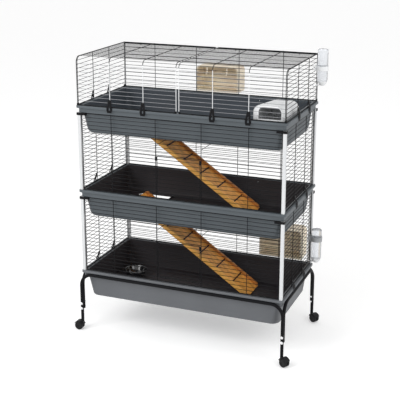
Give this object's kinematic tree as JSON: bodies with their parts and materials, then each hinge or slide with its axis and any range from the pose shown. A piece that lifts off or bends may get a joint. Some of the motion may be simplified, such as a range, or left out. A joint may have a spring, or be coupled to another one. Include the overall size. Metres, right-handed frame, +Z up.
{
  "type": "ferret cage",
  "caption": "Tiered cage on a castered tube stand: moulded trays, wire walls and lifting wire roof, drop doors, ramps, bowl, bottles, litter box and wall boxes.",
  "frame": {"origin": "on the floor, under the centre of the overall bounding box", "axes": "+Z up, the front with the doors faces -Y, +X to the right seen from the front"},
  "size_m": [1.3046, 0.7554, 1.6205],
  "materials": {
    "tray_plastic": "moulded grey plastic, satin",
    "post_metal": "silver, satin",
    "cage_wire": "black enamelled wire",
    "clip_plastic": "black moulded plastic",
    "stand_paint": "black gloss powder coat",
    "caster_plastic": "black moulded plastic",
    "ramp_wood": "honey lacquered wood",
    "bowl_glaze": "black, glossy",
    "bottle_plastic": "clear and white plastic",
    "white_plastic": "white moulded plastic",
    "box_wood": "pale board"
  },
  "bodies": {
    "cage": {"tray_lower": "tray_plastic", "tray_middle": "tray_plastic", "tray_upper": "tray_plastic", "post_tier1_front_left": "post_metal", "post_tier1_front_right": "post_metal", "post_tier1_back_left": "post_metal", "post_tier1_back_right": "post_metal", "post_tier2_front_left": "post_metal", "post_tier2_front_right": "post_metal", "post_tier2_back_left": "post_metal", "post_tier2_back_right": "post_metal", "tier1_front_wall": "cage_wire", "tier1_back_wall": "cage_wire", "tier1_left_wall": "cage_wire", "tier1_right_wall": "cage_wire", "tier2_front_wall": "cage_wire", "tier2_back_wall": "cage_wire", "tier2_left_wall": "cage_wire", "tier2_right_wall": "cage_wire", "tier3_left_wall": "cage_wire", "tier3_right_wall": "cage_wire", "tier3_back_wall": "cage_wire", "tier1_tie_rod_left": "cage_wire", "tier1_tie_rod_right": "cage_wire", "tier2_tie_rod_left": "cage_wire", "tier2_tie_rod_right": "cage_wire", "stand_front_frame": "stand_paint", "stand_back_frame": "stand_paint", "stand_left_frame": "stand_paint", "stand_right_frame": "stand_paint", "litter_pan": "white_plastic"},
    "caster_front_left": {"caster_hood_front_left": "caster_plastic"},
    "wheels_front_left": {"caster_wheels_front_left": "caster_plastic"},
    "caster_front_right": {"caster_hood_front_right": "caster_plastic"},
    "wheels_front_right": {"caster_wheels_front_right": "caster_plastic"},
    "caster_back_left": {"caster_hood_back_left": "caster_plastic"},
    "wheels_back_left": {"caster_wheels_back_left": "caster_plastic"},
    "caster_back_right": {"caster_hood_back_right": "caster_plastic"},
    "wheels_back_right": {"caster_wheels_back_right": "caster_plastic"},
    "roof_left": {"roof_half_left": "cage_wire"},
    "front_clip_left_1": {"front_clip_left_1": "clip_plastic"},
    "front_clip_left_2": {"front_clip_left_2": "clip_plastic"},
    "side_clip_left_front": {"side_clip_left_front": "clip_plastic"},
    "side_clip_left_back": {"side_clip_left_back": "clip_plastic"},
    "roof_right": {"roof_half_right": "cage_wire"},
    "front_clip_right_1": {"front_clip_right_1": "clip_plastic"},
    "front_clip_right_2": {"front_clip_right_2": "clip_plastic"},
    "side_clip_right_front": {"side_clip_right_front": "clip_plastic"},
    "side_clip_right_back": {"side_clip_right_back": "clip_plastic"},
    "door_tier1": {"tier1_door": "cage_wire"},
    "ramp_tier1": {"ramp_tier1": "ramp_wood"},
    "door_tier2": {"tier2_door": "cage_wire"},
    "ramp_tier2": {"ramp_tier2": "ramp_wood"},
    "litter_hood": {"litter_hood": "white_plastic"},
    "bowl": {"bowl": "bowl_glaze"},
    "bottle_tier1": {"water_bottle_tier1": "bottle_plastic"},
    "box_tier1": {"wall_box_tier1": "box_wood"},
    "bottle_tier3": {"water_bottle_tier3": "bottle_plastic"},
    "box_tier3": {"wall_box_tier3": "box_wood"}
  },
  "joints": [
    {"name": "swivel_front_left", "type": "hinge", "parent": "cage", "child": "caster_front_left", "pos_m": [-0.60501, -0.33848, 0.05952], "axis": [0, 0, 1], "continuous": true},
    {"name": "roll_front_left", "type": "hinge", "parent": "caster_front_left", "child": "wheels_front_left", "pos_m": [-0.62601, -0.33848, 0.02452], "axis": [0, -1, 0], "continuous": true},
    {"name": "swivel_front_right", "type": "hinge", "parent": "cage", "child": "caster_front_right", "pos_m": [0.59099, -0.33848, 0.05952], "axis": [0, 0, 1], "continuous": true},
    {"name": "roll_front_right", "type": "hinge", "parent": "caster_front_right", "child": "wheels_front_right", "pos_m": [0.60918, -0.34898, 0.02452], "axis": [0.5, 0.866, 0], "continuous": true},
    {"name": "swivel_back_left", "type": "hinge", "parent": "cage", "child": "caster_back_left", "pos_m": [-0.60501, 0.26552, 0.05952], "axis": [0, 0, 1], "continuous": true},
    {"name": "roll_back_left", "type": "hinge", "parent": "caster_back_left", "child": "wheels_back_left", "pos_m": [-0.62601, 0.26552, 0.02452], "axis": [0, -1, 0], "continuous": true},
    {"name": "swivel_back_right", "type": "hinge", "parent": "cage", "child": "caster_back_right", "pos_m": [0.59099, 0.26552, 0.05952], "axis": [0, 0, 1], "continuous": true},
    {"name": "roll_back_right", "type": "hinge", "parent": "caster_back_right", "child": "wheels_back_right", "pos_m": [0.60918, 0.25501, 0.02452], "axis": [0.5, 0.866, 0], "continuous": true},
    {"name": "roof_lift_left", "type": "hinge", "parent": "cage", "child": "roof_left", "pos_m": [-0.30201, 0.25472, 1.57862], "axis": [-1, 0, 0], "range_deg": [0, 100]},
    {"name": "front_clip_left_1_swing", "type": "hinge", "parent": "roof_left", "child": "front_clip_left_1", "pos_m": [-0.20201, -0.33269, 1.36752], "axis": [-1, 0, 0], "range_deg": [0, 60]},
    {"name": "front_clip_left_2_swing", "type": "hinge", "parent": "roof_left", "child": "front_clip_left_2", "pos_m": [-0.39701, -0.33269, 1.36752], "axis": [-1, 0, 0], "range_deg": [0, 60]},
    {"name": "side_clip_left_front_swing", "type": "hinge", "parent": "cage", "child": "side_clip_left_front", "pos_m": [-0.59921, -0.13448, 1.36752], "axis": [0, 1, 0], "range_deg": [0, 60]},
    {"name": "side_clip_left_back_swing", "type": "hinge", "parent": "cage", "child": "side_clip_left_back", "pos_m": [-0.59921, 0.06152, 1.36752], "axis": [0, 1, 0], "range_deg": [0, 60]},
    {"name": "roof_lift_right", "type": "hinge", "parent": "cage", "child": "roof_right", "pos_m": [0.28799, 0.25472, 1.57862], "axis": [-1, 0, 0], "range_deg": [0, 100]},
    {"name": "front_clip_right_1_swing", "type": "hinge", "parent": "roof_right", "child": "front_clip_right_1", "pos_m": [0.18799, -0.33269, 1.36752], "axis": [-1, 0, 0], "range_deg": [0, 60]},
    {"name": "front_clip_right_2_swing", "type": "hinge", "parent": "roof_right", "child": "front_clip_right_2", "pos_m": [0.38299, -0.33269, 1.36752], "axis": [-1, 0, 0], "range_deg": [0, 60]},
    {"name": "side_clip_right_front_swing", "type": "hinge", "parent": "cage", "child": "side_clip_right_front", "pos_m": [0.58519, -0.13448, 1.36752], "axis": [0, -1, 0], "range_deg": [0, 60]},
    {"name": "side_clip_right_back_swing", "type": "hinge", "parent": "cage", "child": "side_clip_right_back", "pos_m": [0.58519, 0.06152, 1.36752], "axis": [0, -1, 0], "range_deg": [0, 60]},
    {"name": "door_tier1_drop", "type": "hinge", "parent": "cage", "child": "door_tier1", "pos_m": [-0.00701, -0.32149, 0.39052], "axis": [1, 0, 0], "range_deg": [0, 100]},
    {"name": "ramp_tier1_lift", "type": "hinge", "parent": "cage", "child": "ramp_tier1", "pos_m": [-0.43901, 0.05552, 0.70402], "axis": [0, -1, 0], "range_deg": [0, 10]},
    {"name": "door_tier2_drop", "type": "hinge", "parent": "cage", "child": "door_tier2", "pos_m": [-0.00701, -0.32149, 0.86802], "axis": [1, 0, 0], "range_deg": [0, 100]},
    {"name": "ramp_tier2_lift", "type": "hinge", "parent": "cage", "child": "ramp_tier2", "pos_m": [-0.43901, 0.05552, 1.18152], "axis": [0, -1, 0], "range_deg": [0, 10]},
    {"name": "litter_hood_lift", "type": "slide", "parent": "cage", "child": "litter_hood", "axis": [0, 0, 1], "range_m": [0, 0.1]},
    {"name": "bowl_lift", "type": "slide", "parent": "cage", "child": "bowl", "axis": [0, 0, 1], "range_m": [0, 0.15]},
    {"name": "bottle_tier1_lift", "type": "slide", "parent": "cage", "child": "bottle_tier1", "axis": [0, 0, 1], "range_m": [0, 0.008]},
    {"name": "box_tier1_lift", "type": "slide", "parent": "cage", "child": "box_tier1", "axis": [0, 0, 1], "range_m": [0, 0.012]},
    {"name": "bottle_tier3_lift", "type": "slide", "parent": "cage", "child": "bottle_tier3", "axis": [0, 0, 1], "range_m": [0, 0.008]},
    {"name": "box_tier3_lift", "type": "slide", "parent": "cage", "child": "box_tier3", "axis": [0, 0, 1], "range_m": [0, 0.012]}
  ]
}
